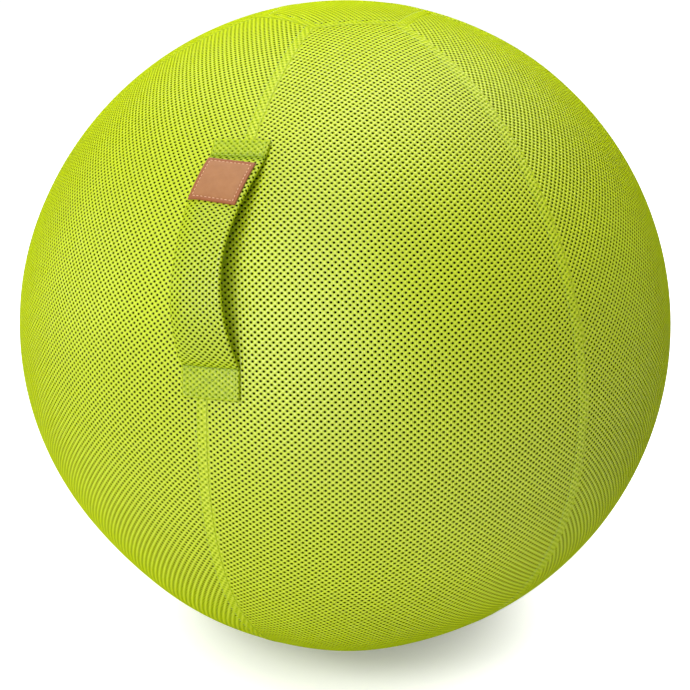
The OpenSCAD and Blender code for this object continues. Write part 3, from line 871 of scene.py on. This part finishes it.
ZIP_PLASTIC = mottled_finish("zip_acetal", (146, 176, 20), (160, 190, 30), 160, 0.38, 0.00003)
for node_name in ("zip_teeth_left", "zip_teeth_right", "zip_lower_stop", "zip_upper_stop"):
    dress(node_name, ZIP_PLASTIC)
ZIP_METAL = mottled_finish("zip_zinc", (176, 178, 182), (196, 198, 202), 240, 0.34, 0.00004,
                           Metallic=1.0)
for node_name in ("zip_slider", "zip_pull"):
    dress(node_name, ZIP_METAL)


# ---- Carrying strap ----
# One strip of the same mesh, folded into a flat padded tube and sewn down at both ends with a crossed
# box of stitches. Between them it arches off the ball to leave room for a hand, bows a little to the
# left, and its left edge curls back towards the ball.

STRAP_UP = np.radians(28.5)
STRAP_SKEW = np.radians(3.5)
STRAP_SHIFT = 0.0025
STRAP_THICK = 0.005
TAB_THICK = 0.0036
GRIP_WIDTH = 0.044
END_WIDTH = 0.051
UPPER_FOOT, UPPER_END = 0.092, 0.108
LOWER_FOOT, LOWER_END = -0.083, -0.109
STRAP_LIFT = 0.0003
STRAP_BEND = 0.034
UPPER_LEAN, LOWER_LEAN = 0.092, 0.028
STRAP_BOW = 0.008
BOW_EASE = 0.024
STRAP_CURL = 0.004
CURL_WIDTH = 0.014
CURL_FROM, CURL_TO = 0.006, 0.02
STRAP_CROWN = 0.0006
STRAP_HEM = 0.0005
UPPER_PRESS, LOWER_PRESS = 0.012, 0.006
TIP_LENGTH = 0.002
TIP_SHARE = 0.3
SLACK_ACROSS, SLACK_ALONG = 0.93, 0.87
# An even tone over the whole strap, a little darker and less glossy than the cover.
STRAP_TONE = 0.018
ARCH_STEPS, END_STEPS = 240, 40
RUN_STEP = 0.001


def strap_path():
    """The strap's middle line, from its lower end to its upper one.

    Between its feet it is a cubic curve of distance along the seam and height over the ball, bowed
    aside along a parabola. Beyond them it lies on the ball. Returns the distance along the seam, the
    run along the line, its points in side view, and how far it lies aside.
    """
    t = np.linspace(1, 0, ARCH_STEPS)
    tab_height = STRAP_LIFT + TAB_THICK / 2
    parts = [(1 - t) ** 3, 3 * t * (1 - t) ** 2, 3 * t ** 2 * (1 - t), t ** 3]
    seam = parts[0] * UPPER_FOOT + parts[1] * (UPPER_FOOT - UPPER_LEAN) \
        + parts[2] * (LOWER_FOOT + LOWER_LEAN) + parts[3] * LOWER_FOOT
    height = tab_height * (parts[0] + parts[3]) + STRAP_BEND * (parts[1] + parts[2])
    below = np.linspace(LOWER_END, LOWER_FOOT, END_STEPS)[:-1]
    beyond = np.linspace(UPPER_FOOT, UPPER_END, END_STEPS)[1:]
    seam = np.concatenate([below, seam, beyond])
    height = np.pad(height, END_STEPS - 1, constant_values=tab_height)
    points = np.stack([seam, np.sqrt(BALL_RADIUS ** 2 - seam ** 2) + height], axis=1)
    run = summed(np.linalg.norm(np.diff(points, axis=0), axis=1))
    share = (seam - (UPPER_FOOT + LOWER_FOOT) / 2) / ((UPPER_FOOT - LOWER_FOOT) / 2)
    return seam, run, points, -STRAP_BOW * np.clip(1 - share ** 2, 0, 1)


PATH_SEAM, PATH_RUN, PATH_POINTS, PATH_SIDE = strap_path()
STRAP_LENGTH = float(PATH_RUN[-1])


def at_run(run, values):
    """Values of the strap's middle line at these runs along it."""
    return np.interp(run, PATH_RUN, values)


def side_view(run):
    """Points of the strap's middle line in side view, at these runs along it."""
    return np.stack([at_run(run, values) for values in PATH_POINTS.T], axis=1)


def strap_width(run):
    """Half the strap's width: narrow in the middle, and wide where it is sewn down."""
    share = np.clip(np.abs(at_run(run, PATH_SEAM)) / -LOWER_FOOT, 0, 1)
    return (GRIP_WIDTH + (END_WIDTH - GRIP_WIDTH) * (1 - np.cos(np.pi * share)) / 2) / 2


def sewn_down(seam, above, below):
    """1 on the strap's sewn ends, easing to 0 over these distances from its upper and lower foot."""
    upper = smooth_step(seam, UPPER_FOOT - above, UPPER_FOOT)
    return upper + smooth_step(-seam, -LOWER_FOOT - below, -LOWER_FOOT)


def strap_thickness(run):
    """Full in the grip, pressed thin in the sewn ends, and rounded off at both tips."""
    pressed = sewn_down(at_run(run, PATH_SEAM), UPPER_PRESS, LOWER_PRESS)
    tip = np.clip(np.minimum(run, STRAP_LENGTH - run) / TIP_LENGTH, 0, 1)
    full = STRAP_THICK + (TAB_THICK - STRAP_THICK) * pressed
    return full * (TIP_SHARE + (1 - TIP_SHARE) * np.sqrt(1 - (1 - tip) ** 2))


def strap_sides(run):
    """Half the girth of the folded tube at each run along it: both flat faces and both round edges."""
    thick = strap_thickness(run)
    half = 2 * (strap_width(run) - thick / 2) + np.pi * thick / 2
    return -half, half


def on_handle(points):
    """From the handle's own axes, with X across, Y up the seam and Z outwards, to the frame."""
    turn = Matrix.Rotation(np.pi / 2 - STRAP_UP, 3, "X") @ Matrix.Rotation(STRAP_SKEW, 3, "Z")
    return (points - [STRAP_SHIFT, 0, 0]) @ np.array(turn).T + BALL_CENTRE


def over_strap(x, run, height):
    """Points beside the handle's plane of symmetry, this high over the strap's middle line."""
    ahead = unit(side_view(run + RUN_STEP) - side_view(run - RUN_STEP))
    y, z = side_view(run).T
    return on_handle(np.stack([x, y - ahead[:, 1] * height, z + ahead[:, 0] * height], axis=1))


def heading(run):
    """The angle by which the strap's middle line turns aside, eased off towards its sewn ends."""
    slope = (at_run(run + RUN_STEP, PATH_SIDE) - at_run(run - RUN_STEP, PATH_SIDE)) / (2 * RUN_STEP)
    seam = at_run(run, PATH_SEAM)
    ease = smooth_step(seam, LOWER_FOOT, LOWER_FOOT + BOW_EASE) \
        * smooth_step(-seam, -UPPER_FOOT, BOW_EASE - UPPER_FOOT)
    return np.arctan(slope) * ease


def beside_path(across, run, height):
    """Points this far across the strap and above its middle line."""
    turn = heading(run)
    aside = at_run(run, PATH_SIDE) + across * np.cos(turn)
    return over_strap(aside, run - across * np.sin(turn), height)


def curl(across, run):
    """How far the strap's left edge curls back towards the ball where the strap stands off it."""
    raised = np.linalg.norm(side_view(run), axis=1) - BALL_RADIUS
    share = np.clip((-across - strap_width(run) + CURL_WIDTH) / CURL_WIDTH, 0, 1)
    return STRAP_CURL * share ** 2 * smooth_step(raised, CURL_FROM, CURL_TO)


def strap_place(girth, run, drop):
    """Bends the flat strip into the tube: the distance round it from the outer face's middle line sets
    the place on the outer face, the round edge or the inner face."""
    thick = strap_thickness(run)
    flat = strap_width(run) - thick / 2
    far = np.abs(girth)
    turn = np.clip((far - flat) / (thick / 2), 0, np.pi)
    over = np.clip(far - flat - np.pi * thick / 2, 0, None)
    crown = STRAP_CROWN * np.clip(1 - (far / flat) ** 2, 0, 1) * thick / STRAP_THICK
    across = np.sign(girth) * (np.minimum(far, flat) + (thick / 2 - drop) * np.sin(turn) - over)
    height = (thick / 2 - drop) * np.cos(turn) + crown - curl(across, run)
    return beside_path(across, run, height)


def line_distance(x, y, start, end):
    """How far points lie from the straight line between two points."""
    along = np.subtract(end, start)
    share = np.clip(((x - start[0]) * along[0] + (y - start[1]) * along[1]) / (along @ along), 0, 1)
    return np.hypot(x - start[0] - share * along[0], y - start[1] - share * along[1])


BOX_INSET = 0.0035
BOX_OFF_FOOT = 0.001
BOX_HALF = END_WIDTH / 2 - BOX_INSET
# Painted shade in the stitch grooves, the crease and the bend of the strap.
STITCH_WIDTH, STITCH_DROP, STITCH_GROOVE_SHADE = 0.0011, 0.0003, 0.02
CREASE_WIDTH, CREASE_DROP, CREASE_SHADE = 0.0011, 0.0003, 0.08
BEND_WIDTH, BEND_DROP, BEND_SHADE = 0.004, 0.0007, 0.07
BEND_BACK = 0.001
UPPER_PAIR_EASE, LOWER_PAIR_EASE = 0.003, 0.001


def box_lines(low, high):
    """The four sides and two diagonals of a sewn end's box, as across and along the seam."""
    a, b, c, d = (-BOX_HALF, low), (BOX_HALF, low), (BOX_HALF, high), (-BOX_HALF, high)
    return [(a, b), (b, c), (c, d), (d, a), (a, c), (b, d)]


STITCHED = box_lines(LOWER_END + BOX_INSET, LOWER_FOOT - BOX_OFF_FOOT) \
    + box_lines(UPPER_FOOT + BOX_OFF_FOOT, UPPER_END - BOX_INSET)


def strap_relief(girth, run):
    """Relief of the strap: shallow holes in the sewn ends, grooves under their stitches, a crease where
    it leaves the lower end and a softer bend below the upper one. Shade is painted into the grooves, the
    crease and the bend, and STRAP_TONE makes the whole strap a little darker and less glossy."""
    seam = at_run(run, PATH_SEAM)
    paired = sewn_down(seam, UPPER_PAIR_EASE, LOWER_PAIR_EASE)
    groove = np.zeros_like(run)
    for start, end in STITCHED:
        groove = np.maximum(groove, bell(line_distance(girth, seam, start, end), STITCH_WIDTH))
    crease = bell(seam - LOWER_FOOT, CREASE_WIDTH)
    bend = bell(seam - UPPER_FOOT + BEND_BACK, BEND_WIDTH)
    drop = STITCH_DROP * groove + CREASE_DROP * crease + BEND_DROP * bend
    tone = np.maximum(STRAP_TONE + STITCH_GROOVE_SHADE * groove, CREASE_SHADE * crease)
    return drop, paired, np.maximum(tone, BEND_SHADE * bend)


def strap_knit_sides(v):
    """The strip's two sides at this length along the knit, in the knit's own stretched measure."""
    left, right = strap_sides(v * SLACK_ALONG)
    return left / SLACK_ACROSS, right / SLACK_ACROSS


def make_strap():
    """The strap as one piece of mesh, cut in the measure of the cover's stretched knit and drawn
    together by its slackness."""
    panel = cut_panel(0.0, STRAP_LENGTH / SLACK_ALONG, strap_knit_sides, np.random.default_rng(21))
    strap = knit_piece("handle_strap", panel,
                       lambda u, v, drop: strap_place(u * SLACK_ACROSS, v * SLACK_ALONG, drop),
                       lambda u, v: strap_relief(u * SLACK_ACROSS, v * SLACK_ALONG),
                       KNIT, hem=STRAP_HEM)
    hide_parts("handle_upper_end", "handle_grip", "handle_lower_end")
    return strap


LINE_STEPS = 60
SINK_IN_GROOVE = 0.0002
OUT_STEP = 0.01
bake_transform(make_strap())


def strap_stitches():
    """The stitched box and cross of both sewn ends, as paths just over the bottom of their grooves."""
    paths = []
    for start, end in STITCHED:
        marks = np.linspace(0, 1, LINE_STEPS)[:, None]
        line = np.array(start) * (1 - marks) + np.array(end) * marks
        run = np.interp(line[:, 1], PATH_SEAM, PATH_RUN)
        height = strap_thickness(run) / 2 - SINK_IN_GROOVE
        points = beside_path(line[:, 0], run, height)
        paths.append((points, beside_path(line[:, 0], run, height + OUT_STEP) - points))
    return paths


sew("handle_box_stitches", strap_stitches(), LIME_THREAD, "ball", "mesh_fabric",
    pitch=0.0033, length=0.0026, radius=0.00026)


# ---- Leather label ----
# A square of smooth tan leather on the upper end of the strap, cut sharp at its edges and held by one
# row of pale thread 3 mm inside them. Its face is plain.

LABEL_SIDE = 0.044
LABEL_THICK = 0.0015
LABEL_LIFT = 0.0001
LABEL_EDGE = 0.0004
LABEL_STITCH = 0.0031
LABEL_DROP = 0.008
LABEL_MIDDLE = float(np.interp(UPPER_FOOT, PATH_SEAM, PATH_RUN)) - LABEL_DROP - LABEL_SIDE / 2
STITCH_PULL, PULL_WIDTH = 0.00032, 0.0008
EDGE_ROUND = 0.0005
LABEL_PUFF, PUFF_WIDTH = 0.0002, 0.005
RIM_FROM, RIM_TO = 0.0045, 0.002
CLOUDS_PER_METRE, DULLS_PER_METRE, PORES_PER_METRE = 110, 300, 500
GRAINS_PER_METRE = 1500.0
LEATHER_RELIEF = 0.00012
LABEL_STEPS = 61
THREAD_LIFT = 0.0001


def label_place(x, y, height):
    """Lays the label on the strap, turned as the strap is at the label's middle: x across it, y up it,
    height over its underside."""
    turn = heading(np.array([LABEL_MIDDLE]))
    run = LABEL_MIDDLE + y * np.cos(turn) - x * np.sin(turn)
    aside = at_run(LABEL_MIDDLE, PATH_SIDE) + x * np.cos(turn) + y * np.sin(turn)
    sag = curl(x, run)
    return over_strap(aside, run, strap_thickness(run) / 2 + STRAP_CROWN + LABEL_LIFT + height - sag)


def label_face(x, y):
    """Height of the leather's face: pulled down along the stitches and rounded off at the edge."""
    inside = LABEL_SIDE / 2 - np.maximum(np.abs(x), np.abs(y))
    seam = STITCH_PULL * bell(inside - LABEL_STITCH, PULL_WIDTH)
    edge = EDGE_ROUND * (1 - np.clip(inside / LABEL_EDGE, 0, 1)) ** 2
    puff = LABEL_PUFF * smooth_step(inside, LABEL_STITCH, LABEL_STITCH + PUFF_WIDTH)
    return LABEL_THICK - seam - edge + puff


def make_leather():
    """Smooth tan leather: cloudy dye, a redder rim outside the stitches, fine grain, a dull gloss."""
    material, tree, shader = new_material("label_leather", Specular_IOR_Level=0.45)
    flat = add_node(tree, "ShaderNodeUVMap", uv_map="Hide").outputs["UV"]
    split = add_node(tree, "ShaderNodeSeparateXYZ", {"Vector": flat})
    reach = reckon(tree, "MAXIMUM", reckon(tree, "ABSOLUTE", split.outputs["X"]),
                   reckon(tree, "ABSOLUTE", split.outputs["Y"]))
    rim = spread(tree, reach, LABEL_SIDE / 2 - RIM_FROM, LABEL_SIDE / 2 - RIM_TO,
                 interpolation_type="SMOOTHSTEP")
    face = blend_colours(tree, mottled(tree, flat, CLOUDS_PER_METRE),
                         linear(156, 102, 56), linear(166, 112, 64))
    colour = blend_colours(tree, rim, face, linear(148, 84, 38))
    tree.links.new(colour, shader.inputs["Base Color"])
    grain = add_node(tree, "ShaderNodeTexVoronoi", {"Vector": flat, "Scale": GRAINS_PER_METRE},
                     feature="DISTANCE_TO_EDGE").outputs["Distance"]
    dull = mottled(tree, flat, DULLS_PER_METRE, 0.5, 0.64)
    tree.links.new(dull, shader.inputs["Roughness"])
    pores = mottled(tree, flat, PORES_PER_METRE, 0.0, 0.6)
    raise_bumps(tree, shader, reckon(tree, "MULTIPLY_ADD", grain, 0.5, pores), LEATHER_RELIEF)
    return material


def cells(grid):
    """The four corners of each cell of a grid, in turn round it."""
    return grid[:-1, :-1], grid[1:, :-1], grid[1:, 1:], grid[:-1, 1:]


def make_label():
    """A grid for the face, whose outer ring drops to the underside, and one that closes it below."""
    half = LABEL_SIDE / 2
    inner = np.linspace(-half + LABEL_EDGE, half - LABEL_EDGE, LABEL_STEPS)
    beside = half - LABEL_EDGE / 3
    marks = np.concatenate([[-half, -half, -beside], inner, [beside, half, half]])
    x, y = (grid.ravel() for grid in np.meshgrid(marks, marks, indexing="ij"))
    top = np.arange(x.size).reshape(len(marks), len(marks))
    outer = np.ones(top.shape, bool)
    outer[1:-1, 1:-1] = False
    below = np.where(outer, top, top + x.size)
    height = np.where(outer.ravel(), 0, label_face(x, y))
    points = np.concatenate([label_place(x, y, height), label_place(x, y, np.zeros(x.size))])
    flat = np.stack([x, y], axis=1)
    label = build_mesh("handle_label_leather", points, join_faces([cells(top), cells(below)[::-1]]),
                       make_leather(), {"Hide": np.concatenate([flat, flat])})
    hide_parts("handle_label")
    return label


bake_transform(make_label())


def label_stitch_path():
    """The square path of the stitches, 3 mm inside the label's edge."""
    reach = LABEL_SIDE / 2 - LABEL_STITCH
    x, y = traced(reach * np.array([-1, 1, 1, -1, -1]), reach * np.array([-1, -1, 1, 1, -1]))
    height = label_face(x, y) + THREAD_LIFT
    points = label_place(x, y, height)
    return points, label_place(x, y, height + OUT_STEP) - points


PALE_THREAD = make_thread_material("pale_thread", (212, 164, 126), (232, 192, 156))
label_thread = sew("handle_label_stitches", [label_stitch_path()], PALE_THREAD, None, "label_leather",
                   pitch=0.0037, length=0.0027, radius=0.00032)
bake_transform(label_thread)


# ---- Studio ----
# A plain white floor whose glow paints over the outer part of the ball's shadow and keeps the part
# close to the ball, a large lamp overhead, two in front, one at the left and three behind, and a dim
# surround. The camera looks down at the strap's side of the ball.

FLOOR_REACH = 14.0
FLOOR_SINK = 0.0004
FLOOR_CLOUDS = 0.8
FLOOR_TONES = (0.81, 0.83)
CAMERA_AZIMUTH = np.radians(20.7)
CAMERA_HEIGHT = np.radians(21)
CAMERA_DISTANCE = 1.43
CAMERA_LENS = 72.5
CAMERA_SHIFT = (-0.0022, -0.03)
NEAR_GLOW, FAR_GLOW = 0.22, 1.0
GLOW_FROM, GLOW_TO = 0.1, 0.26
SURROUND_LIGHT = 0.02


def emptied(holder):
    """The node tree of a new material or world, with nothing in it."""
    holder.use_nodes = True
    holder.node_tree.nodes.clear()
    return holder.node_tree


def seen_share(tree):
    """1 for what the camera sees straight, mirrored or through glass, and 0 for light on a surface."""
    path = add_node(tree, "ShaderNodeLightPath").outputs
    mirrored = reckon(tree, "MAXIMUM", path["Is Glossy Ray"], path["Is Transmission Ray"])
    return reckon(tree, "MAXIMUM", path["Is Camera Ray"], mirrored)


def make_floor():
    """White to the camera and in reflections, less so near the ball, with the lamps' light on top: the
    glow paints over the ball's shadow beyond GLOW_TO and lets it show within GLOW_FROM.
    """
    material = bpy.data.materials.new("studio_floor")
    tree = emptied(material)
    place = object_place(tree)
    cloud = mottled(tree, place, FLOOR_CLOUDS, *FLOOR_TONES)
    paint = add_node(tree, "ShaderNodeBsdfDiffuse", {"Color": cloud})
    distance = add_node(tree, "ShaderNodeVectorMath", {0: place}, operation="LENGTH").outputs["Value"]
    # Painted light: the full white glow away from the ball hides the outer part of its shadow.
    white = spread(tree, distance, GLOW_FROM, GLOW_TO, NEAR_GLOW, FAR_GLOW, "SMOOTHSTEP")
    strength = reckon(tree, "MULTIPLY", seen_share(tree), white)
    glow = add_node(tree, "ShaderNodeEmission", {"Strength": strength})
    both = add_node(tree, "ShaderNodeAddShader", {0: paint.outputs[0], 1: glow.outputs[0]})
    add_node(tree, "ShaderNodeOutputMaterial", {"Surface": both.outputs[0]})
    square = FLOOR_REACH * np.array([[-1, -1, 0], [1, -1, 0], [1, 1, 0], [-1, 1, 0]])
    floor = build_mesh("studio_floor", square - [0, 0, FLOOR_SINK], np.array([[0, 1, 2, 3]]), material,
                       smooth=False)


make_floor()


def make_surround():
    """White to the camera and in reflections, and a plain soft light on everything else."""
    world = bpy.data.worlds.new("studio_surround")
    bpy.context.scene.world = world
    tree = emptied(world)
    strength = reckon(tree, "MULTIPLY_ADD", seen_share(tree), 1 - SURROUND_LIGHT, SURROUND_LIGHT)
    glow = add_node(tree, "ShaderNodeBackground", {"Color": (1, 1, 1, 1), "Strength": strength})
    add_node(tree, "ShaderNodeOutputWorld", {"Surface": glow.outputs[0]})


make_surround()


def aim_at_ball(name, data, place):
    """Puts a lamp or the camera at a place, turned towards the ball's centre."""
    holder = bpy.data.objects.new(name, data)
    holder.location = place
    holder.rotation_euler = (Vector(BALL_CENTRE) - Vector(place)).to_track_quat("-Z", "Y").to_euler()
    bpy.context.scene.collection.objects.link(holder)
    return holder


def add_lamp(name, place, size, power):
    """A square area lamp turned towards the ball."""
    lamp = bpy.data.lights.new(name, "AREA")
    lamp.shape = "SQUARE"
    lamp.size = size
    lamp.energy = power
    aim_at_ball(name, lamp, place)


add_lamp("top_lamp", (0.0, 0.0, 2.92), 1.6, 38)
add_lamp("high_front_lamp", (-0.37, -2.1, 1.81), 0.6, 18)
add_lamp("low_front_lamp", (0.22, -2.53, 0.86), 0.9, 22)
add_lamp("left_lamp", (-2.46, -0.66, 0.86), 0.6, 15)
add_lamp("right_back_lamp", (1.41, 1.18, 2.16), 1.2, 3)
add_lamp("left_back_lamp", (-1.59, 0.92, 2.16), 1.2, 14)
add_lamp("back_lamp", (0.57, 1.57, 2.31), 1.6, 26)

view_level = np.cos(CAMERA_HEIGHT)
view_way = Vector((view_level * np.sin(CAMERA_AZIMUTH), -view_level * np.cos(CAMERA_AZIMUTH),
                   np.sin(CAMERA_HEIGHT)))
view_place = Vector(BALL_CENTRE) + view_way * CAMERA_DISTANCE
camera = aim_at_ball("camera", bpy.data.cameras.new("camera"), view_place)
camera.data.lens = CAMERA_LENS
camera.data.shift_x, camera.data.shift_y = CAMERA_SHIFT
bpy.context.scene.camera = camera
bpy.context.scene.view_settings.view_transform = "Standard"
